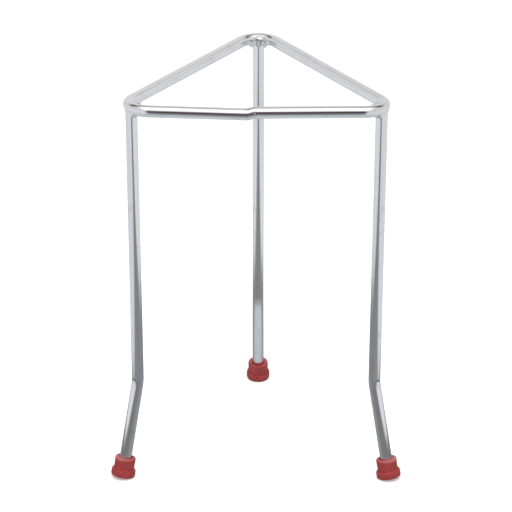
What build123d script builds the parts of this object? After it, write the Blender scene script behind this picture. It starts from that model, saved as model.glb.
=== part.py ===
from build123d import *

import os
from math import atan2, cos, hypot, radians, sin, sqrt

# A laboratory tripod stand: a triangular ring on three legs, all bent from one size of round steel
# rod, with a rubber foot pushed on to each leg. The ring is one rod bent at three corners and butt
# welded where its ends meet, near the middle of the front bar. Each leg is coped to the underside
# of a corner, joined there by a weld bead on the inner side, and kinked outwards near the bench.
#
# Frame: +Z up, origin on the bench under the middle of the ring, front bar towards -Y. Millimetres
# and degrees.

# --- Rod and ring ---------------------------------------------------------------------------------
rod_diameter = 6.0
stand_height = 200.0  # bench to the top of the ring
ring_side = 138.2  # between the points where the bars' centre lines would meet
ring_bend_radius = 10.4  # of the centre line at each corner
joint_offset = -2.7  # the butt weld's place along the front bar, from its middle
joint_length = 5.0  # of weld metal between the rod's two ends
joint_bow = 2.4  # the two halves of the front bar meet this far in front of a straight bar
joint_step = 0.9  # the rod's left end lies this much lower than its right end
joint_grind = 0.1  # the weld is ground this much below the rod's surface

# --- Legs -----------------------------------------------------------------------------------------
leg_lean = 1.5  # how far a leg leans in from the ring to its bend
leg_bend_height = 51.0  # of the bend's corner above the bench
leg_bend_radius = 25.0  # of the centre line
leg_splay = 9.5  # how far a front leg's line runs out from the bend to the bench
back_leg_splay = 12.6  # the back leg was bent further than the front ones
leg_cope_depth = 1.4  # the leg's coped end wraps this far up the ring from its underside
leg_end_chamfer = 0.5
pin_mark_radius = 1.3  # the bending pin's print on the hollow side of the bend
pin_mark_depth = 0.35
pin_mark_rise = 1.5  # above the bend's corner

# --- Weld beads at the corners --------------------------------------------------------------------
bead_radius = 1.7
bead_inset = 0.7  # from the leg's inner side to the bead's centre line
bead_bite = 0.1  # from the leg's flanks in to each end of the bead's centre line
bead_lap = 0.1  # of the bead's ends above the ring's underside
bead_crown = 0.3  # of the bead's middle above the ring's centre line

# --- Feet -----------------------------------------------------------------------------------------
foot_height = 10.0
foot_wall = 2.3  # of rubber round the leg
foot_flange_height = 3.7
foot_flange_width = 0.85  # beyond the wall
foot_floor = 2.6  # of rubber under the leg's end
foot_rim_round = 0.8  # at the bottom of the flange
foot_flange_round = 0.7
foot_lip_round = 0.8  # at the outer edge of the top
foot_mouth_chamfer = 0.5  # at the bore's mouth
foot_bore_clearance = 0.02  # on the radius
foot_flat_depth = 0.3  # bedded flat where the inner side of the rim bears on the bench

# --- Worked out from the sizes above --------------------------------------------------------------
rod_radius = rod_diameter / 2
ring_height = stand_height - rod_radius  # of the ring's centre line
ring_inradius = ring_side / (2 * sqrt(3))  # from the axis to a bar's centre line
ring_corner_reach = ring_side / sqrt(3)  # from the axis to where two bars' centre lines would meet
leg_splays = {"front_left": leg_splay, "front_right": leg_splay, "back": back_leg_splay}
corner_angles = {"front_left": 210, "front_right": 330, "back": 90}

os.makedirs("parts", exist_ok=True)


def write(part, label):
    """Labels a finished sub-part and writes it to its own STEP file."""
    part.label = label
    export_step(part, f"parts/{label}.step")


def ring_corner(corner):
    """Where the centre lines of the two bars beside this corner would meet."""
    angle = radians(corner_angles[corner])
    return Vector(ring_corner_reach * cos(angle), ring_corner_reach * sin(angle), ring_height)


# --- Ring -----------------------------------------------------------------------------------------
joint_front = -(ring_inradius + joint_bow)
right_end = Vector(joint_offset + joint_length / 2, joint_front, ring_height)
left_end = Vector(joint_offset - joint_length / 2, joint_front, ring_height - joint_step)

with BuildPart() as ring:
    with BuildLine() as ring_line:
        FilletPolyline(
            right_end,
            ring_corner("front_right"),
            ring_corner("back"),
            ring_corner("front_left"),
            left_end,
            radius=ring_bend_radius,
        )
    right_face = Plane(origin=ring_line.line @ 0, z_dir=ring_line.line % 0)
    left_face = Plane(origin=ring_line.line @ 1, z_dir=ring_line.line % 1)
    with BuildSketch(right_face):
        Circle(rod_radius)
    sweep()
write(ring.part, "top_ring")

joint_middle = Plane(origin=(left_end + right_end) / 2, z_dir=left_face.z_dir + right_face.z_dir)

with BuildPart() as joint_weld:
    with BuildSketch(left_face):
        Circle(rod_radius)
    with BuildSketch(joint_middle):
        Circle(rod_radius - joint_grind)
    with BuildSketch(right_face):
        Circle(rod_radius)
    loft()
write(joint_weld.part, "ring_joint_weld")

# --- Leg lines ------------------------------------------------------------------------------------
# Each leg stands under the middle of a bend in the ring, in the upright plane through that point
# and the stand's axis.
ring_bends = ring_line.edges().filter_by(GeomType.CIRCLE)
bend_middles = {
    corner: ring_bends.sort_by_distance(ring_corner(corner))[0] @ 0.5 for corner in corner_angles
}


def leg_plane(corner):
    """The upright plane of this corner's leg: x is the reach from the axis, y the height."""
    outwards = Vector(bend_middles[corner].X, bend_middles[corner].Y, 0)
    return Plane(origin=(0, 0, 0), x_dir=outwards, z_dir=outwards.cross(Vector(0, 0, 1)))


def leg_top_reach(corner):
    """From the axis to the middle of this corner's bend."""
    return hypot(bend_middles[corner].X, bend_middles[corner].Y)


def leg_bend_reach(corner):
    """From the axis to the corner of the leg's own bend."""
    return leg_top_reach(corner) - leg_lean


# --- Feet -----------------------------------------------------------------------------------------
foot_radius = rod_radius + foot_wall
flange_radius = foot_radius + foot_flange_width


def foot_lift(corner):
    """How high the middle of the foot's underside stands above the bench.

    The foot is square to the splayed leg, so the flange's inner side is lowest; it is set one flat's
    depth into the bench.
    """
    splay_angle = atan2(leg_splays[corner], leg_bend_height)
    rim_sink = foot_rim_round * (1 - cos(splay_angle))
    return (flange_radius - foot_rim_round) * sin(splay_angle) + rim_sink - foot_flat_depth


def foot_spread(corner):
    """How far out from the leg's bend the middle of the foot's underside lies."""
    return leg_splays[corner] * (1 - foot_lift(corner) / leg_bend_height)


def foot_plane(corner, height=0.0):
    """Square to the lower leg, this far up the foot from the middle of its underside."""
    upright = leg_plane(corner)
    base_reach = leg_bend_reach(corner) + foot_spread(corner)
    base = upright.from_local_coords((base_reach, foot_lift(corner)))
    along = upright.from_local_coords((leg_bend_reach(corner), leg_bend_height)) - base
    return Plane(origin=base, x_dir=upright.z_dir, z_dir=along).offset(height)


def make_foot(corner):
    """A rubber ferrule: a plain cap with a flange at its foot and a blind bore for the leg."""
    with BuildPart() as foot:
        with BuildSketch(foot_plane(corner)):
            Circle(flange_radius)
        extrude(amount=foot_flange_height)
        underside, flange_top = foot.edges().filter_by(GeomType.CIRCLE).sort_by(
            Axis(foot_plane(corner).origin, foot_plane(corner).z_dir)
        )
        fillet(underside, foot_rim_round)
        fillet(flange_top, foot_flange_round)
        with BuildSketch(foot_plane(corner, foot_floor)):
            Circle(foot_radius)
        extrude(amount=foot_height - foot_floor)
        lip = foot.faces().filter_by(GeomType.PLANE).sort_by(
            Axis(foot_plane(corner).origin, foot_plane(corner).z_dir)
        )[-1]
        fillet(lip.edges(), foot_lip_round)
        with Locations(foot_plane(corner, foot_height)):
            CounterSinkHole(
                radius=rod_radius + foot_bore_clearance,
                counter_sink_radius=rod_radius + foot_bore_clearance + foot_mouth_chamfer,
                depth=foot_height - foot_floor,
                counter_sink_angle=90,
            )
        with BuildSketch(Plane.XY):
            with Locations(foot_plane(corner).origin):
                Circle(2 * flange_radius)
        extrude(amount=-foot_height, mode=Mode.SUBTRACT)
    return foot.part


for corner in corner_angles:
    write(make_foot(corner), f"foot_{corner}")


# --- Legs -----------------------------------------------------------------------------------------
def make_leg(corner):
    """A rod that leans in a little, kinks outwards, ends in its foot and is coped to the ring."""
    upright = leg_plane(corner)
    rod_end = upright.to_local_coords(foot_plane(corner, foot_floor).origin)
    with BuildPart() as leg:
        with BuildLine(upright) as leg_line:
            FilletPolyline(
                (leg_top_reach(corner), bend_middles[corner].Z - rod_radius + leg_cope_depth),
                (leg_bend_reach(corner), leg_bend_height),
                (rod_end.X, rod_end.Y),
                radius=leg_bend_radius,
            )
        with BuildSketch(Plane(origin=leg_line.line @ 0, z_dir=leg_line.line % 0)):
            Circle(rod_radius)
        sweep()
        chamfer(leg.faces().sort_by(Axis.Z)[0].edges(), leg_end_chamfer)
        add(ring.part, mode=Mode.SUBTRACT)
        with BuildSketch(upright):
            with Locations(
                (
                    leg_bend_reach(corner) + rod_radius + pin_mark_radius - pin_mark_depth,
                    leg_bend_height + pin_mark_rise,
                )
            ):
                Circle(pin_mark_radius)
        extrude(amount=rod_diameter, both=True, mode=Mode.SUBTRACT)
    return leg.part


legs = {corner: make_leg(corner) for corner in corner_angles}
for corner, leg_part in legs.items():
    write(leg_part, f"leg_{corner}")


# --- Weld beads -----------------------------------------------------------------------------------
def make_bead(corner):
    """A bead laid round the inner side of the leg's top, up into the crook of the corner."""
    upright = leg_plane(corner)
    reach = leg_top_reach(corner)
    height = bend_middles[corner].Z
    half_width = rod_radius - bead_bite
    ends = [
        upright.from_local_coords((reach, height - rod_radius + bead_lap, side))
        for side in (-half_width, half_width)
    ]
    inmost = reach - rod_radius - bead_inset
    crown = upright.from_local_coords((inmost, height + bead_crown))
    with BuildPart() as bead:
        with BuildLine() as bead_line:
            ThreePointArc(ends[0], crown, ends[1])
        with BuildSketch(Plane(origin=bead_line.line @ 0, z_dir=bead_line.line % 0)):
            Circle(bead_radius)
        sweep()
        with Locations(*ends):
            Sphere(bead_radius)
        add(ring.part, mode=Mode.SUBTRACT)
        add(legs[corner], mode=Mode.SUBTRACT)
    return bead.part


for corner in corner_angles:
    write(make_bead(corner), f"weld_bead_{corner}")
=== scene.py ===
"""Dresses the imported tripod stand: plated rods, lumpy welds, red rubber feet, and a plain studio."""

import logging
import math
from dataclasses import dataclass, field
from enum import Enum
from typing import Any, Sequence

import bpy
import numpy as np
from mathutils import Matrix, Vector


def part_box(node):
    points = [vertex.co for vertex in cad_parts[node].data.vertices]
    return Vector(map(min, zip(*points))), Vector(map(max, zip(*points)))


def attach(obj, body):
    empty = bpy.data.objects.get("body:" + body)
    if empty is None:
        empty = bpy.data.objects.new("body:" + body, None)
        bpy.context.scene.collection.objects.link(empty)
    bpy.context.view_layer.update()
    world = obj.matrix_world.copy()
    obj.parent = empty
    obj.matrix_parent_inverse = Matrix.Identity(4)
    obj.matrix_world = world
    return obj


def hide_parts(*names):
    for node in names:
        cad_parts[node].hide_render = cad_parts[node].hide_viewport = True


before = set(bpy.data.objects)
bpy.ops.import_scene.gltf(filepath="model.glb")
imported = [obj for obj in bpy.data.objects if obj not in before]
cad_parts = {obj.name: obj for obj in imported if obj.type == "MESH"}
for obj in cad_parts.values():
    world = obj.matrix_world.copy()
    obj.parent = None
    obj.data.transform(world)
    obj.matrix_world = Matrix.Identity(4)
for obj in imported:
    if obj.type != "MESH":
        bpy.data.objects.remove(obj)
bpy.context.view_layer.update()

LOG = logging.getLogger("tripod_stand")
MILLIMETRE = 0.001
END_SHARE = 0.01  # of the first gap between rings
# The colour mix's sockets; its number and vector ones share their names.
MIX_FACTOR, MIX_FIRST, MIX_SECOND, MIX_RESULT = 0, 6, 7, 2


# --- Shader maths ---------------------------------------------------------------------------------
class Signal:
    """A number carried by a shader socket, with Python's operators adding Math nodes."""

    def __init__(self, graph: "Graph", socket: Any) -> None:
        """Wraps a socket.

        Args:
            graph: The graph that the socket belongs to.
            socket: The output socket that carries the number.
        """
        self.graph = graph
        self.socket = socket

    def maths(self, operation: str, *others: "Signal | float") -> "Signal":
        """Adds one Math node.

        Args:
            operation: The Math node's operation.
            others: The second number, where the operation has one.

        Returns:
            The node's result.
        """
        values = dict(enumerate((self, *others)))
        node = self.graph.node("ShaderNodeMath", {"operation": operation}, values)
        return Signal(self.graph, node.outputs[0])

    def __add__(self, other: "Signal | float") -> "Signal":
        """Adds."""
        return self.maths("ADD", other)

    __radd__ = __add__

    def __sub__(self, other: "Signal | float") -> "Signal":
        """Takes away."""
        return self.maths("SUBTRACT", other)

    def __rsub__(self, other: float) -> "Signal":
        """Takes this from a number."""
        return self.maths("MULTIPLY", -1.0) + other

    def __mul__(self, other: "Signal | float") -> "Signal":
        """Multiplies."""
        return self.maths("MULTIPLY", other)

    __rmul__ = __mul__

    def __truediv__(self, other: "Signal | float") -> "Signal":
        """Divides."""
        return self.maths("DIVIDE", other)

    def __abs__(self) -> "Signal":
        """The size without the sign."""
        return self.maths("ABSOLUTE")

    def __pow__(self, other: "Signal | float") -> "Signal":
        """Raises to a power."""
        return self.maths("POWER", other)

    def at_most(self, other: "Signal | float") -> "Signal":
        """The smaller of the two."""
        return self.maths("MINIMUM", other)

    def at_least(self, other: "Signal | float") -> "Signal":
        """The larger of the two."""
        return self.maths("MAXIMUM", other)

    def rise(self, low: float, high: float) -> "Signal":
        """A smooth step.

        Args:
            low: Where the step leaves 0.
            high: Where the step reaches 1; below low for a falling step.

        Returns:
            A number that goes smoothly from 0 at low to 1 at high.
        """
        settings = {"interpolation_type": "SMOOTHSTEP", "clamp": True}
        falling = high < low
        start, end = (high, low) if falling else (low, high)
        values = {"Value": self, "From Min": start, "From Max": end,
                  "To Min": 1.0 if falling else 0.0, "To Max": 0.0 if falling else 1.0}
        node = self.graph.node("ShaderNodeMapRange", settings, values)
        return Signal(self.graph, node.outputs["Result"])

    def bump(self, middle: float, half_width: float) -> "Signal":
        """A smooth hump of height 1 round a middle, gone half_width away on each side."""
        return abs(self - middle).rise(half_width, 0.0)


class Graph:
    """The node tree of one material or world."""

    def __init__(self, owner: Any) -> None:
        """Empties the owner's node tree.

        Args:
            owner: The material or world.
        """
        owner.use_nodes = True
        self.tree = owner.node_tree
        self.tree.nodes.clear()

    def node(self, kind: str, settings: dict[str, Any], values: dict[Any, Any]) -> Any:
        """Adds any node.

        Args:
            kind: The node's type.
            settings: Its properties, which are set first.
            values: Values or links of its sockets, by name or number.

        Returns:
            The new node.
        """
        node = self.tree.nodes.new(kind)
        for name, value in settings.items():
            setattr(node, name, value)
        for key, value in values.items():
            socket = node.inputs[key]
            if isinstance(value, Signal):
                value = value.socket
            if isinstance(value, bpy.types.NodeSocket):
                self.tree.links.new(value, socket)
            else:
                socket.default_value = value
        return node

    def split(self, vector: Any) -> tuple[Signal, Signal, Signal]:
        """The three parts of a vector socket."""
        node = self.node("ShaderNodeSeparateXYZ", {}, {0: vector})
        return tuple(Signal(self, node.outputs[index]) for index in range(3))

    def join(self, x: Signal | float, y: Signal | float, z: Signal | float) -> Any:
        """A vector socket made of three numbers."""
        return self.node("ShaderNodeCombineXYZ", {}, {0: x, 1: y, 2: z}).outputs[0]

    def place(self) -> Any:
        """The surface point in the row's frame, in metres."""
        return self.node("ShaderNodeTexCoord", {}, {}).outputs["Object"]

    def noise(self, vector: Any, scale: float, detail: float = 2.0,
              roughness: float = 0.5) -> Signal:
        """Smooth noise.

        Args:
            vector: The socket it is read at.
            scale: Its fineness.
            detail: How many finer layers are added.
            roughness: How strong the finer layers are.

        Returns:
            A number round 0.5.
        """
        values = {"Vector": vector, "Scale": scale, "Detail": detail, "Roughness": roughness}
        return Signal(self, self.node("ShaderNodeTexNoise", {}, values).outputs["Fac"])

    def mix(self, factor: Signal | float, first: Any, second: Any) -> Any:
        """A colour between two colours.

        Args:
            factor: 0 for the first, 1 for the second.
            first: A colour or a socket.
            second: A colour or a socket.

        Returns:
            The colour socket.
        """
        values = {MIX_FACTOR: factor, MIX_FIRST: first, MIX_SECOND: second}
        return self.node("ShaderNodeMix", {"data_type": "RGBA"}, values).outputs[MIX_RESULT]


def colour(red: float, green: float, blue: float) -> tuple[float, float, float, float]:
    """A linear colour with full cover."""
    return (red, green, blue, 1.0)


def grey(level: float) -> tuple[float, float, float, float]:
    """A linear grey with full cover."""
    return colour(level, level, level)


# --- Surfaces -------------------------------------------------------------------------------------
@dataclass
class Skin:
    """A closed skin: rings of points between two poles, with the straightened place of each."""

    rings: np.ndarray
    poles: np.ndarray
    straightened: np.ndarray

    def build(self, name: str, material: bpy.types.Material) -> bpy.types.Object:
        """Makes the object: smooth quads between neighbouring rings and a flat fan at each pole.

        Args:
            name: The piece's name.
            material: Its finish.

        Returns:
            The object, with the straightened place of each point as the attribute rod_place.
        """
        count, around = self.rings.shape[:2]
        points = np.vstack([self.rings.reshape(-1, 3), self.poles])
        row, column = np.meshgrid(np.arange(count - 1), np.arange(around), indexing="ij")
        after = (column + 1) % around
        quads = np.stack([row * around + column, row * around + after,
                          (row + 1) * around + after, (row + 1) * around + column], -1).reshape(-1, 4)
        first = np.arange(around)
        second = (first + 1) % around
        last = (count - 1) * around
        low, high = count * around, count * around + 1
        fans = np.vstack([np.stack([np.full(around, low), second, first], -1),
                          np.stack([np.full(around, high), last + first, last + second], -1)])
        mesh = bpy.data.meshes.new(name)
        mesh.from_pydata(points.tolist(), [], quads.tolist() + fans.tolist())
        ends = self.straightened[[0, -1]].mean(axis=1)
        places = np.vstack([self.straightened.reshape(-1, 3), ends]).astype(np.float32)
        attribute = mesh.attributes.new("rod_place", "FLOAT_VECTOR", "POINT")
        attribute.data.foreach_set("vector", places.ravel())
        mesh.polygons.foreach_set("use_smooth", np.arange(len(mesh.polygons)) < len(quads))
        mesh.materials.append(material)
        mesh.update()
        made = bpy.data.objects.new(name, mesh)
        bpy.context.scene.collection.objects.link(made)
        return made


@dataclass
class Line:
    """A centre line: its points and how far along it each point lies."""

    points: np.ndarray
    along: np.ndarray

    @classmethod
    def through(cls, points: np.ndarray) -> "Line":
        """Measures a line of points: each point's distance is the sum of the chords before it."""
        chords = np.linalg.norm(np.diff(points, axis=0), axis=1)
        return cls(points, np.concatenate([[0.0], np.cumsum(chords)]))

    @classmethod
    def rounded(cls, corners: Sequence[Sequence[float]], radius: float, step: float,
                turns: int) -> "Line":
        """A run of straight lines with an arc at each inner corner.

        Each arc starts and ends at the radius over the tangent of half the corner's angle from the
        corner, and its points are the start turned about the arc's middle in equal steps.

        Args:
            corners: The corners, ends included.
            radius: Every arc's radius.
            step: The longest gap between points on a straight.
            turns: The number of points on each arc.

        Returns:
            The line.
        """
        corner = np.asarray(corners, float)
        runs = []
        begin = corner[0]
        for before, here, after in zip(corner[:-2], corner[1:-1], corner[2:]):
            back = (before - here) / np.linalg.norm(before - here)
            ahead = (after - here) / np.linalg.norm(after - here)
            half = 0.5 * math.acos(float(np.clip(back @ ahead, -1.0, 1.0)))
            enter = here + back * radius / math.tan(half)
            leave = here + ahead * radius / math.tan(half)
            middle = here + (back + ahead) / np.linalg.norm(back + ahead) * radius / math.sin(half)
            runs.append(straight(begin, enter, step)[:-1])
            inward = (enter - middle) / radius
            turned = np.linspace(0.0, math.pi - 2.0 * half, turns)[:, None]
            arc = middle + radius * (np.cos(turned) * inward - np.sin(turned) * back)
            runs.append(arc[:-1])
            begin = leave
        runs.append(straight(begin, corner[-1], step))
        return cls.through(np.vstack(runs))

    def directions(self) -> np.ndarray:
        """The unit direction at each point, from the points on its two sides."""
        ahead = np.gradient(self.points, self.along, axis=0)
        return ahead / np.linalg.norm(ahead, axis=1)[:, None]

    def skin(self, reference: np.ndarray, radius: np.ndarray, around: int = 56) -> Skin:
        """Carries a circle along the line.

        Each point is the line's point plus the radius times the cosine of the angle round the rod
        along the reference, plus its sine times the direction crossed with the reference.

        Args:
            reference: The direction of angle 0, one row for the whole line or one for each point.
            radius: The radius at each point of the line and each angle.
            around: The number of points round the rod.

        Returns:
            The skin, with a pole at the middle of each end.
        """
        ahead = self.directions()
        first = reference - (reference * ahead).sum(axis=1)[:, None] * ahead
        first = first / np.linalg.norm(first, axis=1)[:, None]
        second = np.cross(ahead, first)
        angle = turn_angles(around)
        across, up = radius * np.cos(angle), radius * np.sin(angle)
        rings = (self.points[:, None, :] + across[..., None] * first[:, None, :]
                 + up[..., None] * second[:, None, :])
        along = np.broadcast_to(self.along[:, None], across.shape)
        places = np.stack([across, up, along], -1)
        return Skin(tightened(rings), self.points[[0, -1]], tightened(places))


def tightened(rings: np.ndarray) -> np.ndarray:
    """Adds a ring just inside each end, so the shading turns only at the very end."""
    near = rings[0] + (rings[1] - rings[0]) * END_SHARE
    far = rings[-1] + (rings[-2] - rings[-1]) * END_SHARE
    return np.concatenate([rings[:1], near[None], rings[1:-1], far[None], rings[-1:]])


def straight(start: np.ndarray, end: np.ndarray, step: float) -> np.ndarray:
    """Evenly spaced points from start to end, no further apart than the step."""
    count = max(2, int(math.ceil(np.linalg.norm(end - start) / step)) + 1)
    return start + (end - start) * np.linspace(0.0, 1.0, count)[:, None]


def turn_angles(around: int) -> np.ndarray:
    """Evenly spaced angles round a circle, in radians, without the last repeat."""
    return np.linspace(0.0, 2.0 * math.pi, around, endpoint=False)


def hump(value: np.ndarray, middle: float, width: float) -> np.ndarray:
    """A bell: one at the middle, falling as e to the minus square of the distance in widths."""
    return np.exp(-(((value - middle) / width) ** 2))


def ease(value: np.ndarray) -> np.ndarray:
    """A smooth step from 0 to 1: three times the square less twice the cube."""
    held = np.clip(value, 0.0, 1.0)
    return held * held * (3.0 - 2.0 * held)


def wobble(along: np.ndarray, angle: np.ndarray, seed: int, waves: int, length: float) -> np.ndarray:
    """Soft unevenness over a round piece: a sum of sines with seeded sizes, turns and phases.

    Args:
        along: How far along the piece, in metres.
        angle: The angle round it, in radians.
        seed: What fixes the draw.
        waves: How many sines are added.
        length: The shortest wave along the piece, in metres.

    Returns:
        Numbers of about unit size.
    """
    draw = np.random.default_rng(seed)
    total = np.zeros(np.broadcast(along, angle).shape)
    for _ in range(waves):
        turns = draw.integers(-4, 5)
        rate = draw.uniform(0.2, 1.0) * 2.0 * math.pi / length
        height = draw.normal()
        phase = draw.uniform(0.0, 2.0 * math.pi)
        total = total + height * np.sin(rate * along + turns * angle + phase)
    return total / math.sqrt(waves)


# --- Finishes -------------------------------------------------------------------------------------
@dataclass(frozen=True)
class PlatedRod:
    """Bright plating over drawn rod: a mirror with faint lines along the rod and a few dull patches."""

    name: str = "bright_plating"
    bright: tuple[float, float, float, float] = colour(0.95, 0.95, 0.97)
    dull: tuple[float, float, float, float] = colour(0.72, 0.725, 0.75)
    scuff: tuple[float, float, float, float] = colour(0.1, 0.1, 0.11)
    polish: float = 0.06
    marked_at: float = -1.0

    def material(self) -> bpy.types.Material:
        """Builds the material from lines that run along the straightened rod, and one tool mark.

        Returns:
            The material.
        """
        made = bpy.data.materials.new(self.name)
        graph = Graph(made)
        place = graph.node("ShaderNodeAttribute", {"attribute_name": "rod_place"}, {}).outputs["Vector"]
        x, y, z = graph.split(place)
        lines = graph.noise(graph.join(x * 1500.0, y * 1500.0, z * 14.0), 1.0, 3.0, 0.6)
        ribs = graph.noise(graph.join(x * 420.0, y * 420.0, z * 5.0), 1.0, 1.0)
        pits = graph.noise(graph.join(x * 900.0, y * 900.0, z * 420.0), 1.0, 2.0)
        patches = graph.noise(place, 170.0, 3.0, 0.6)
        worn = patches.rise(0.54, 0.74)
        streaks = lines.rise(0.5, 0.75) * 0.6 + ribs.rise(0.45, 0.65) * 0.3
        plated = graph.mix((worn * 0.4 + streaks).at_most(1.0), self.bright, self.dull)
        mark = z.bump(self.marked_at, 0.0009).rise(0.1, 0.6) * x.rise(0.0019, 0.0026)
        base = graph.mix(mark * patches.rise(0.3, 0.5) * 0.85, plated, self.scuff)
        rough = self.polish + lines * 0.05 + worn * 0.1
        height = lines * 0.35 + ribs * 0.9 - pits.rise(0.66, 0.8) * 0.25
        bump = graph.node("ShaderNodeBump", {}, {
            "Strength": 0.6, "Distance": 0.00006, "Height": height})
        shader = graph.node("ShaderNodeBsdfPrincipled", {}, {
            "Base Color": base, "Metallic": 1.0, "Roughness": rough, "Normal": bump.outputs[0]})
        graph.node("ShaderNodeOutputMaterial", {}, {"Surface": shader.outputs[0]})
        return made


@dataclass(frozen=True)
class PlatedWeld:
    """Weld metal under the same plating: duller, grained and stained in patches."""

    name: str = "plated_weld"
    bright: tuple[float, float, float, float] = colour(0.84, 0.84, 0.85)
    dark: tuple[float, float, float, float] = colour(0.45, 0.45, 0.46)
    stained: float = 0.6
    grained: float = 0.7
    polish: float = 0.12

    def material(self) -> bpy.types.Material:
        """Builds the material.

        Returns:
            The material.
        """
        made = bpy.data.materials.new(self.name)
        graph = Graph(made)
        place = graph.place()
        grain = graph.noise(place, 1400.0, 3.0, 0.6)
        stain = graph.noise(place, 480.0, 2.0, 0.6)
        base = graph.mix(stain.rise(0.5, 0.7) * self.stained, self.bright, self.dark)
        rough = self.polish + grain * 0.12
        bump = graph.node("ShaderNodeBump", {}, {
            "Strength": self.grained, "Distance": 0.0001, "Height": grain * 0.4 + stain})
        shader = graph.node("ShaderNodeBsdfPrincipled", {}, {
            "Base Color": base, "Metallic": 1.0, "Roughness": rough, "Normal": bump.outputs[0]})
        graph.node("ShaderNodeOutputMaterial", {}, {"Surface": shader.outputs[0]})
        return made


@dataclass(frozen=True)
class RedRubber:
    """Plain moulded rubber: red with a soft mottle, a fine grain and a painted highlight on the top
    edge.
    """

    name: str = "red_rubber"
    deep: tuple[float, float, float, float] = colour(0.315, 0.026, 0.026)
    pale: tuple[float, float, float, float] = colour(0.375, 0.045, 0.042)
    # The pale pink of the painted highlight on the foot's top edge.
    painted_rim_highlight: tuple[float, float, float, float] = colour(0.5, 0.2, 0.19)

    def material(self) -> bpy.types.Material:
        """Builds the material.

        Returns:
            The material.
        """
        made = bpy.data.materials.new(self.name)
        graph = Graph(made)
        place = graph.place()
        mottle = graph.noise(place, 330.0, 4.0, 0.6)
        grain = graph.noise(place, 2600.0, 2.0, 0.5)
        height = graph.split(place)[2]
        rubber = graph.mix(mottle.rise(0.4, 0.75), self.deep, self.pale)
        # Painted highlight: the top edge is mixed towards a pale pink, mottled, where the overhead
        # light falls on the rim.
        base = graph.mix(height.rise(0.0094, 0.0112) * (0.25 + mottle * 0.5), rubber, self.painted_rim_highlight)
        bump = graph.node("ShaderNodeBump", {}, {
            "Strength": 0.35, "Distance": 0.00003, "Height": mottle + grain * 0.5})
        shader = graph.node("ShaderNodeBsdfPrincipled", {}, {
            "Base Color": base, "Roughness": 0.46 + mottle * 0.12, "Normal": bump.outputs[0]})
        graph.node("ShaderNodeOutputMaterial", {}, {"Surface": shader.outputs[0]})
        return made


# --- Stand ----------------------------------------------------------------------------------------
class Corner(Enum):
    """The ring's corners, each with its angle about the upright, in degrees."""

    FRONT_LEFT = 210.0
    FRONT_RIGHT = 330.0
    BACK = 90.0

    @property
    def suffix(self) -> str:
        """The corner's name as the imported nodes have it."""
        return self.name.lower()


@dataclass(frozen=True)
class StandSizes:
    """The sizes that the pieces share, in metres."""

    rod_radius: float = 0.003
    rod_slack: float = 0.00001
    drawn_height: float = 0.000004
    drawn_length: float = 0.03
    ring_height: float = 0.197
    ring_side: float = 0.1382
    ring_bend_radius: float = 0.0104
    joint_offset: float = -0.0027
    joint_length: float = 0.005
    joint_bow: float = 0.0024
    joint_step: float = 0.0009
    leg_lean: float = 0.0015
    leg_bend_height: float = 0.051
    leg_splay: float = 0.0095
    back_leg_splay: float = 0.0126
    foot_floor: float = 0.0026
    rim_round: float = 0.0008
    flange_radius: float = 0.00615
    flat_depth: float = 0.0003

    def drawn_radius(self, along: np.ndarray, angle: np.ndarray, seed: int) -> np.ndarray:
        """The rod's radius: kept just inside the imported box, with a trace of unevenness from drawing.

        Args:
            along: How far along the rod, in metres.
            angle: The angle round it, in radians.
            seed: What fixes the unevenness.

        Returns:
            The radius at each point along and each angle.
        """
        uneven = self.drawn_height * wobble(along[:, None], angle, seed, 14, self.drawn_length)
        return self.rod_radius - self.rod_slack + uneven

    def splay(self, corner: Corner) -> float:
        """How far this corner's leg runs out from its bend to the bench."""
        return self.back_leg_splay if corner is Corner.BACK else self.leg_splay

    def ring_corner(self, corner: Corner) -> np.ndarray:
        """Where the centre lines of the two bars beside this corner would meet."""
        angle = math.radians(corner.value)
        reach = self.ring_side / math.sqrt(3.0)
        return np.array([reach * math.cos(angle), reach * math.sin(angle), self.ring_height])

    def joint_ends(self) -> tuple[np.ndarray, np.ndarray]:
        """The middles of the rod's left and right ends, in front of a straight bar by the bow."""
        front = -(self.ring_side / (2.0 * math.sqrt(3.0)) + self.joint_bow)
        half = self.joint_length / 2.0
        left = np.array([self.joint_offset - half, front, self.ring_height - self.joint_step])
        right = np.array([self.joint_offset + half, front, self.ring_height])
        return left, right

    def bend_middle(self, corner: Corner) -> np.ndarray:
        """The middle of this corner's bend.

        It lies on the line that halves the corner, at the bend's radius over the sine of half the
        corner's angle, less the radius, from where the bars would meet.

        Args:
            corner: The corner.

        Returns:
            The point.
        """
        left, right = self.joint_ends()
        beside = {
            Corner.FRONT_LEFT: (self.ring_corner(Corner.BACK), left),
            Corner.FRONT_RIGHT: (right, self.ring_corner(Corner.BACK)),
            Corner.BACK: (self.ring_corner(Corner.FRONT_RIGHT), self.ring_corner(Corner.FRONT_LEFT)),
        }[corner]
        here = self.ring_corner(corner)
        ways = [(point - here) / np.linalg.norm(point - here) for point in beside]
        half = 0.5 * math.acos(float(ways[0] @ ways[1]))
        inward = (ways[0] + ways[1]) / np.linalg.norm(ways[0] + ways[1])
        return here + inward * self.ring_bend_radius * (1.0 / math.sin(half) - 1.0)


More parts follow.
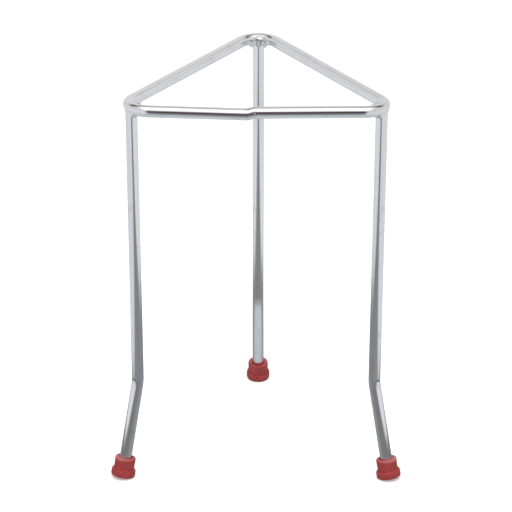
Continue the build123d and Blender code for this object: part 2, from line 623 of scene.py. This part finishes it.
@dataclass(frozen=True)
class Upright:
    """The upright plane of one leg, through the stand's axis and the middle of the ring's bend."""

    sizes: StandSizes
    corner: Corner

    def outward(self) -> np.ndarray:
        """The level direction from the axis to the corner."""
        middle = self.sizes.bend_middle(self.corner)
        flat = np.array([middle[0], middle[1], 0.0])
        return flat / np.linalg.norm(flat)

    def sideways(self) -> np.ndarray:
        """The level direction square to the plane."""
        return np.cross(self.outward(), [0.0, 0.0, 1.0])

    def reach(self) -> float:
        """From the axis to the middle of the bend."""
        middle = self.sizes.bend_middle(self.corner)
        return float(np.hypot(middle[0], middle[1]))

    def point(self, reach: float, height: float, side: float = 0.0) -> np.ndarray:
        """A point this far out from the axis, above the bench and to the side."""
        return self.outward() * reach + self.sideways() * side + np.array([0.0, 0.0, height])

    def foot_frame(self) -> tuple[np.ndarray, np.ndarray]:
        """The middle of the foot's underside and the direction up its middle.

        The foot is square to the splayed leg, and stands as high as puts the low side of its rim one
        flat's depth into the bench.

        Returns:
            The point and the unit direction.
        """
        sizes = self.sizes
        splay = math.atan2(sizes.splay(self.corner), sizes.leg_bend_height)
        drop = ((sizes.flange_radius - sizes.rim_round) * math.sin(splay)
                + sizes.rim_round * (1.0 - math.cos(splay)))
        lift = drop - sizes.flat_depth
        bend_reach = self.reach() - sizes.leg_lean
        spread = sizes.splay(self.corner) * (1.0 - lift / sizes.leg_bend_height)
        base = self.point(bend_reach + spread, lift)
        along = self.point(bend_reach, sizes.leg_bend_height) - base
        return base, along / np.linalg.norm(along)


@dataclass
class TopRing:
    """The ring: one rod bent at three corners, with a ground weld where its ends meet."""

    sizes: StandSizes
    around: int = 64
    straight_step: float = 0.002
    bend_points: int = 40
    weld_lap: float = 0.0008
    weld_slack: float = 0.00003
    weld_lump: float = 0.00002
    lump_length: float = 0.0016
    ground_depth: float = 0.00007
    ground_length: float = 0.0018
    pit_depth: float = 0.00016
    pit_angle: float = 1.36
    pit_along: float = 0.0019
    pit_length: float = 0.00032
    pit_spread: float = 0.12

    def build(self, rod: bpy.types.Material, weld: bpy.types.Material) -> None:
        """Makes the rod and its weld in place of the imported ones."""
        self.rod(rod)
        self.joint(weld)

    def rod(self, material: bpy.types.Material) -> None:
        """Carries the rod's circle round the three bends, with a trace of unevenness from drawing."""
        left, right = self.sizes.joint_ends()
        corners = [self.sizes.ring_corner(corner)
                   for corner in (Corner.FRONT_RIGHT, Corner.BACK, Corner.FRONT_LEFT)]
        line = Line.rounded([right, *corners, left], self.sizes.ring_bend_radius,
                            self.straight_step, self.bend_points)
        angle = turn_angles(self.around)
        radius = self.sizes.drawn_radius(line.along, angle, 3)
        upward = np.broadcast_to([0.0, 0.0, 1.0], line.points.shape)
        stand_in("ring_rod", line.skin(upward, radius, self.around), material, "top_ring")

    def joint(self, material: bpy.types.Material) -> None:
        """Carries a nearly flush circle from one rod end to the other.

        Its middle is the cubic that leaves each end along its rod, carried a little way in to both
        rods, and its radius is the rod's, less a little grinding, plus low lumps and one pit that
        faces the front.
        """
        left, right = self.sizes.joint_ends()
        length = self.sizes.joint_length
        before = left - self.sizes.ring_corner(Corner.FRONT_LEFT)
        after = self.sizes.ring_corner(Corner.FRONT_RIGHT) - right
        before, after = before / np.linalg.norm(before), after / np.linalg.norm(after)
        share = np.linspace(0.0, 1.0, 61)[:, None]
        bent = (left * (1.0 + 2.0 * share) * (1.0 - share) ** 2
                + right * share ** 2 * (3.0 - 2.0 * share)
                + before * length * share * (1.0 - share) ** 2
                - after * length * share ** 2 * (1.0 - share))
        lap = np.linspace(0.0, self.weld_lap, 9)[:, None]
        points = np.vstack([left - before * lap[:0:-1], bent, right + after * lap[1:]])
        line = Line.through(points)
        angle = turn_angles(self.around)
        middle = line.along[-1] / 2.0
        ground = self.ground_depth * hump(line.along, middle, self.ground_length)[:, None]
        lumps = self.weld_lump * wobble(line.along[:, None], angle, 11, 10, 0.0022)
        lumps = lumps * hump(line.along, middle, self.lump_length)[:, None]
        turned = np.abs((angle - self.pit_angle + math.pi) % (2.0 * math.pi) - math.pi)
        pit = (self.pit_depth * hump(line.along, middle + self.pit_along, self.pit_length)[:, None]
               * hump(turned, 0.0, self.pit_spread))
        inside = ease((middle + 0.0004 - np.abs(line.along - middle)) / 0.0012)[:, None]
        radius = (self.sizes.rod_radius - self.weld_slack + self.weld_slack * inside
                  - ground + lumps * inside - pit)
        upward = np.broadcast_to([0.0, 0.0, 1.0], line.points.shape)
        stand_in("ring_joint", line.skin(upward, radius, self.around), material,
                 "ring_joint_weld")


@dataclass
class Leg:
    """One leg: a rod under the ring's bend that kinks outwards above its foot."""

    upright: Upright
    around: int = 64
    straight_step: float = 0.002
    bend_radius: float = 0.025
    bend_points: int = 60
    end_chamfer: float = 0.0005
    top_below: float = 0.0007
    neck_depth: float = 0.00012
    neck_length: float = 0.0024
    mark_depth: float = 0.00055
    mark_rise: float = 0.0015
    mark_width: float = 0.0004

    def build(self, material: bpy.types.Material) -> None:
        """Carries the rod's circle down the leg.

        The radius narrows a little where the leg's top runs into the ring, has the bending pin's print
        across the hollow side of the bend, and is chamfered at the end that the foot covers.

        Args:
            material: The rod's finish.
        """
        sizes, upright = self.upright.sizes, self.upright
        top_height = float(sizes.bend_middle(upright.corner)[2])
        base, along = upright.foot_frame()
        corners = [upright.point(upright.reach(), top_height - self.top_below),
                   upright.point(upright.reach() - sizes.leg_lean, sizes.leg_bend_height),
                   base + along * sizes.foot_floor]
        line = Line.rounded(corners, self.bend_radius, self.straight_step, self.bend_points)
        angle = turn_angles(self.around)
        seed = 20 + list(Corner).index(upright.corner)
        radius = sizes.drawn_radius(line.along, angle, seed)
        radius = radius - self.neck_depth * (1.0 - ease(line.along / self.neck_length))[:, None]
        tail = (line.along[-1] - line.along) / self.end_chamfer
        radius = radius - self.end_chamfer * np.clip(1.0 - tail, 0.0, 1.0)[:, None]
        print_height = sizes.leg_bend_height + self.mark_rise
        print_along = line.along[np.argmin(np.abs(line.points[:, 2] - print_height))]
        facing = np.clip(np.cos(angle), 0.0, 1.0)
        depth = np.clip(self.mark_depth - sizes.rod_radius * (1.0 - facing), 0.0, None) * (facing > 0)
        radius = radius - depth * hump(line.along, print_along, self.mark_width)[:, None]
        outward = np.broadcast_to(upright.outward(), line.points.shape)
        name = upright.corner.suffix
        stand_in(f"leg_rod_{name}", line.skin(outward, radius, self.around), material,
                 f"leg_{name}")


@dataclass
class CornerWeld:
    """Weld metal laid round the inner side of a leg's top, dab over dab, up into the ring's corner."""

    upright: Upright
    radius: float = 0.0017
    half_width: float = 0.0029
    lap: float = 0.0001
    inset: float = 0.0007
    crown: float = 0.0002
    droop: float = 0.3
    dabs: float = 5.5
    dab_height: float = 0.00035
    lump_height: float = 0.00024
    around: int = 72
    rings: int = 150

    def build(self, material: bpy.types.Material) -> None:
        """Carries a lumpy circle along an arc.

        The arc runs from one flank of the leg, over a crown inside the corner, to the other flank. The
        radius follows a half circle at each end and is drawn down over the leg in the middle; each
        dab adds a saw-toothed step that trails off behind its curved front edge, and seeded sines add
        lumps.

        Args:
            material: The weld's finish.
        """
        sizes, upright = self.upright.sizes, self.upright
        height = float(sizes.bend_middle(upright.corner)[2])
        reach = upright.reach()
        level = height - sizes.rod_radius + self.lap
        inmost = reach - sizes.rod_radius - self.inset
        ends = [upright.point(reach, level, side) for side in (-self.half_width, self.half_width)]
        line = arc_through(ends[0], upright.point(inmost, height + self.crown), ends[1], self.rings)
        ahead = (line.points[1] - line.points[0]) / np.linalg.norm(line.points[1] - line.points[0])
        behind = (line.points[-1] - line.points[-2]) / np.linalg.norm(line.points[-1] - line.points[-2])
        tip = self.radius * (1.0 - np.cos(np.linspace(0.05, math.pi / 2.0, 14)))
        points = np.vstack([line.points[0] - ahead * (self.radius - tip[:, None]), line.points[1:-1],
                            line.points[-1] + behind * (self.radius - tip[::-1, None])])
        whole = Line.through(points)
        angle = turn_angles(self.around)
        total = whole.along[-1]
        near = np.clip(np.minimum(whole.along, total - whole.along) / self.radius, 0.0, 1.0)
        half_round = np.sqrt(np.clip(1.0 - (1.0 - near) ** 2, 0.002, 1.0))[:, None]
        seed = 40 + list(Corner).index(upright.corner)
        phase = whole.along[:, None] / total * self.dabs + 0.22 * np.cos(angle - 0.6)
        phase = phase + 0.25 * wobble(whole.along[:, None], angle, seed, 5, 0.006)
        step = phase - np.floor(phase)
        dab = self.dab_height * (ease(step / 0.3) * (1.0 - ease((step - 0.3) / 0.7)) - 0.4)
        lump = self.lump_height * wobble(whole.along[:, None], angle, seed + 10, 12, 0.0028)
        middle = hump(whole.along, total / 2.0, total * 0.27)[:, None]
        droop = 1.0 + self.droop * middle * np.clip(np.sin(angle), 0.0, 1.0) ** 2
        radius = (self.radius * droop + dab + lump) * half_round
        inward = np.broadcast_to(-upright.outward(), whole.points.shape)
        name = upright.corner.suffix
        stand_in(f"weld_dabs_{name}", whole.skin(inward, radius, self.around), material,
                 f"weld_bead_{name}")


def arc_through(start: np.ndarray, middle: np.ndarray, end: np.ndarray, count: int) -> Line:
    """The circle's arc through three points.

    The centre is the point in their plane at one distance from all three; each arc point is the centre
    plus the start's offset turned in equal steps until it reaches the end.

    Args:
        start: The first point.
        middle: A point between.
        end: The last point.
        count: How many points the arc gets.

    Returns:
        The arc's line.
    """
    first, second = middle - start, end - start
    normal = np.cross(first, second)
    square = normal @ normal
    offset = (np.cross(normal, first) * (second @ second)
              + np.cross(second, normal) * (first @ first)) / (2.0 * square)
    centre = start + offset
    across = start - centre
    up = np.cross(normal / math.sqrt(square), across)
    last = end - centre
    sweep = math.atan2(float(last @ up), float(last @ across)) % (2.0 * math.pi)
    angle = np.linspace(0.0, sweep, count)[:, None]
    return Line.through(centre + np.cos(angle) * across + np.sin(angle) * up)


@dataclass
class RubberFoot:
    """One moulded foot: a plain cap on a wider base, with a blind bore and a faint parting line."""

    upright: Upright
    around: int = 144
    height: float = 0.010
    body_radius: float = 0.0053
    waist: float = 0.00012
    flange_height: float = 0.0037
    flange_round: float = 0.0007
    fillet: float = 0.0005
    lip_round: float = 0.0008
    mouth: float = 0.0005
    clearance: float = 0.00002
    slack: float = 0.00006
    uneven_height: float = 0.000025
    parting_height: float = 0.00005
    parting_width: float = 0.03

    def profile(self) -> np.ndarray:
        """The outline from the underside's middle, round the outside and down the bore to its floor.

        Returns:
            Rows of radius and height, in metres: straight runs and quarter circles.
        """
        sizes = self.upright.sizes
        bore = sizes.rod_radius + self.clearance
        flange, body = sizes.flange_radius, self.body_radius
        quarter = np.linspace(0.0, math.pi / 2.0, 10)[:, None]
        rim = np.hstack([flange - sizes.rim_round + sizes.rim_round * np.sin(quarter),
                         sizes.rim_round * (1.0 - np.cos(quarter))])
        shoulder = np.hstack([flange - self.flange_round * (1.0 - np.cos(quarter)),
                              self.flange_height - self.flange_round * (1.0 - np.sin(quarter))])
        root = np.hstack([body - self.waist + self.fillet * (1.0 - np.sin(quarter)),
                          self.flange_height + self.fillet * (1.0 - np.cos(quarter))])
        climb = np.linspace(0.0, 1.0, 14)[:, None]
        low, high = self.flange_height + self.fillet, self.height - self.lip_round
        wall = np.hstack([body - self.waist * (1.0 - ease(climb)), low + (high - low) * climb])
        lip = np.hstack([body - self.lip_round * (1.0 - np.cos(quarter)),
                         high + self.lip_round * np.sin(quarter)])
        turned_in = np.array([[bore + self.mouth + 0.0001, self.height],
                              [bore + self.mouth, self.height - 0.00002],
                              [bore + 0.00002, self.height - self.mouth],
                              [bore, self.height - self.mouth - 0.0001]])
        drop = np.linspace(self.height - self.mouth - 0.001, sizes.foot_floor + 0.0001, 6)
        down = np.hstack([np.full((6, 1), bore), drop[:, None]])
        floor = np.array([[bore - 0.0001, sizes.foot_floor], [bore * 0.5, sizes.foot_floor]])
        under = np.array([[0.001, 0.0], [0.003, 0.0], [0.0045, 0.0]])
        return np.vstack([under, rim, shoulder, root, wall[1:], lip[1:], turned_in, down, floor])

    def build(self, material: bpy.types.Material) -> None:
        """Turns the outline about the foot's middle and beds its low side flat on the bench.

        Each point is the foot's base plus its height up the foot, plus its radius round it; the
        parting line swells the outside along two opposite meridians, and no point stays below the
        bench.

        Args:
            material: The rubber's finish.
        """
        upright = self.upright
        base, along = upright.foot_frame()
        profile = self.profile()
        first = upright.sideways()
        second = np.cross(along, first)
        angle = turn_angles(self.around)
        outside = profile[:, 0] > upright.sizes.rod_radius + self.clearance + self.mouth
        turned = np.abs((angle + math.pi / 2.0) % math.pi - math.pi / 2.0)
        swell = self.parting_height * np.exp(-((turned / self.parting_width) ** 2))
        seed = 60 + list(Corner).index(upright.corner)
        uneven = self.uneven_height * wobble(profile[:, 1][:, None], angle, seed, 8, 0.02)
        radius = profile[:, 0][:, None] + outside[:, None] * (swell + uneven - self.slack)
        rings = (base + profile[:, 1][:, None, None] * along
                 + (radius * np.cos(angle))[..., None] * first
                 + (radius * np.sin(angle))[..., None] * second)
        rings[..., 2] = np.maximum(rings[..., 2], 0.0)
        poles = np.array([base, base + along * upright.sizes.foot_floor])
        name = upright.corner.suffix
        stand_in(f"rubber_foot_{name}", Skin(rings, poles, rings), material,
                 f"foot_{name}")


def stand_in(name: str, skin: Skin, material: bpy.types.Material, node: str) -> None:
    """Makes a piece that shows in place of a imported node.

    Args:
        name: The piece's name.
        skin: Its surface.
        material: Its finish.
        node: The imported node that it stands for.
    """
    made = skin.build(name, material)
    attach(made, "root")
    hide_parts(node)
    low, high = (np.array(corner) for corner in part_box(node))
    points = skin.rings.reshape(-1, 3)
    spill = max(float((low - points.min(axis=0)).max()), float((points.max(axis=0) - high).max()))
    LOG.info("%s: %d faces, %.2f mm outside the box of %s", name, len(made.data.polygons),
             spill / MILLIMETRE, node)


# --- Studio ---------------------------------------------------------------------------------------
@dataclass(frozen=True)
class Lens:
    """Where the camera stands, in metres and degrees in the row's frame."""

    place: tuple[float, float, float] = (0.01288, -1.4219, 0.69616)
    pitch: float = 22.5815
    turn: float = 0.5386
    roll: float = 0.096
    focal_length: float = 214.359
    sensor_width: float = 36.0

    def build(self) -> None:
        """Makes the scene's camera: turned about the upright, tilted down, then rolled."""
        data = bpy.data.cameras.new("camera")
        data.sensor_width = self.sensor_width
        data.lens = self.focal_length
        data.clip_start = 0.05
        data.clip_end = 60.0
        camera = bpy.data.objects.new("camera", data)
        bpy.context.scene.collection.objects.link(camera)
        turn = Matrix.Rotation(math.radians(self.turn), 4, "Z")
        tilt = Matrix.Rotation(math.radians(90.0 - self.pitch), 4, "X")
        roll = Matrix.Rotation(math.radians(self.roll), 4, "Z")
        camera.matrix_world = Matrix.Translation(self.place) @ turn @ tilt @ roll
        bpy.context.scene.camera = camera


@dataclass
class Studio:
    """A white floor and world, an overhead soft light and the room that the plating mirrors."""

    lens: Lens = field(default_factory=Lens)
    floor_reach: float = 12.0
    lamp_aim: tuple[float, float, float] = (0.0, 0.0, 0.1)

    def build(self) -> None:
        """Makes the camera, the room, the floor and the lamp."""
        self.lens.build()
        self.room()
        self.floor()
        self.lamp("overhead_softbox", (0.0, -0.35, 1.5), 1.2, 16.0)
        view = bpy.context.scene.view_settings
        view.view_transform = "Standard"

    def room(self) -> None:
        """Makes the world: white behind the object, pale walls and a dark front in the plating."""
        world = bpy.data.worlds.new("room")
        bpy.context.scene.world = world
        graph = Graph(world)
        toward = graph.node("ShaderNodeTexCoord", {}, {}).outputs["Generated"]
        x, y, z = graph.split(toward)
        flat = (x * x + y * y).at_least(1e-6) ** 0.5
        side = x / flat
        front = -1.0 * y / flat
        elevation = z.maths("ARCSINE") * (180.0 / math.pi)
        walls = 0.7 + elevation.rise(35.0, 80.0) * 0.1
        overhead = elevation.rise(30.0, 50.0) * y.rise(0.25, -0.1) * abs(x).rise(0.55, 0.3) * 0.6
        behind = elevation.bump(60.0, 24.0) * front.rise(-0.3, -0.9) * 0.36
        beams = front.bump(-0.45, 0.55) * elevation.bump(51.0, 27.0) * 0.66
        gap = abs(side).rise(0.42, 0.12) * front.rise(0.0, 0.3) * elevation.rise(44.0, 16.0)
        level = (walls + overhead - behind - beams) * (1.0 - gap * 0.9)
        shade = graph.join(level * (1.0 + gap * 0.08), level * (1.0 - gap * 0.2),
                           level * (1.0 - gap * 0.05))
        pale = graph.node("ShaderNodeBackground", {}, {"Color": shade, "Strength": 1.0})
        white = graph.node("ShaderNodeBackground", {}, {"Color": grey(1.0), "Strength": 1.0})
        path = graph.node("ShaderNodeLightPath", {}, {})
        mixed = graph.node("ShaderNodeMixShader", {}, {
            0: path.outputs["Is Camera Ray"], 1: pale.outputs[0], 2: white.outputs[0]})
        graph.node("ShaderNodeOutputWorld", {}, {"Surface": mixed.outputs[0]})

    def floor(self) -> None:
        """Makes the bench: white to the eye; in the plating it shows a painted shade under and in front
        of the stand, with a faint painted sheen near its middle.
        """
        reach = self.floor_reach
        mesh = bpy.data.meshes.new("floor")
        corners = [(-reach, -reach, 0), (reach, -reach, 0), (reach, reach, 0), (-reach, reach, 0)]
        mesh.from_pydata(corners, [], [(0, 1, 2, 3)])
        made = bpy.data.objects.new("floor", mesh)
        bpy.context.scene.collection.objects.link(made)
        material = bpy.data.materials.new("floor")
        mesh.materials.append(material)
        graph = Graph(material)
        x, y, _ = graph.split(graph.place())
        # Painted shade seen only in mirrored rays: a darker patch of floor under and in front of the
        # stand, darkest at grazing angles and towards the front, with a faint painted sheen near the
        # middle.
        half_width = 0.115 + y.rise(-0.42, -0.14) * 0.06 + (-0.62 - y).at_least(0.0) * 0.32
        painted_shade_patch = (abs(x) - half_width).rise(0.04, -0.04) * y.rise(0.19, 0.11)
        weight = graph.node("ShaderNodeLayerWeight", {}, {"Blend": 0.5})
        facing = Signal(graph, weight.outputs["Facing"])
        depth = (1.0 - ((0.16 - facing) * 3.3).at_most(0.0).maths("EXPONENT")) * 0.9
        painted_sheen = abs(x).bump(0.03, 0.03) * abs(y - 0.04).rise(0.07, 0.0) * 0.12
        deeper = 0.93 + y.rise(-0.5, -1.2) * 0.07
        level = (0.6 + facing * 0.17) * (1.0 - painted_shade_patch * depth * deeper) + painted_sheen * painted_shade_patch
        mirrored = graph.node("ShaderNodeEmission", {}, {
            "Color": graph.join(level * (0.89 + facing * 0.15), level, level * 1.03), "Strength": 1.0})
        paper = graph.node("ShaderNodeBsdfDiffuse", {}, {"Color": grey(0.8)})
        lift = graph.node("ShaderNodeEmission", {}, {"Color": grey(1.0), "Strength": 0.35})
        seen = graph.node("ShaderNodeAddShader", {}, {0: paper.outputs[0], 1: lift.outputs[0]})
        path = graph.node("ShaderNodeLightPath", {}, {})
        eye = graph.node("ShaderNodeMixShader", {}, {
            0: path.outputs["Is Camera Ray"], 1: paper.outputs[0], 2: seen.outputs[0]})
        both = graph.node("ShaderNodeMixShader", {}, {
            0: path.outputs["Is Glossy Ray"], 1: eye.outputs[0], 2: mirrored.outputs[0]})
        graph.node("ShaderNodeOutputMaterial", {}, {"Surface": both.outputs[0]})

    def lamp(self, name: str, place: tuple[float, float, float], width: float, watts: float) -> None:
        """Makes one square lamp that points at the stand and stays out of the plating.

        Args:
            name: The lamp's name.
            place: Where it hangs, in metres.
            width: Its side, in metres.
            watts: Its power.
        """
        data = bpy.data.lights.new(name, "AREA")
        data.size = width
        data.energy = watts
        made = bpy.data.objects.new(name, data)
        bpy.context.scene.collection.objects.link(made)
        made.location = place
        aim = Vector(self.lamp_aim) - made.location
        made.rotation_euler = aim.to_track_quat("-Z", "Y").to_euler()
        made.visible_glossy = False
        made.visible_camera = False


def main() -> None:
    logging.basicConfig(level=logging.INFO, format="%(name)s: %(message)s")
    Studio().build()
    sizes = StandSizes()
    rod = PlatedRod().material()
    leg_rod = PlatedRod("leg_plating", marked_at=0.1438).material()
    weld = PlatedWeld().material()
    ground = PlatedWeld("ground_weld", stained=0.15, grained=0.12, polish=0.05).material()
    rubber = RedRubber().material()
    TopRing(sizes).build(rod, ground)
    for corner in Corner:
        upright = Upright(sizes, corner)
        Leg(upright).build(leg_rod)
        if corner is Corner.BACK:
            CornerWeld(upright, crown=0.0007, droop=1.3).build(weld)
        else:
            CornerWeld(upright).build(weld)
        RubberFoot(upright).build(rubber)


if __name__ == "__main__":
    main()
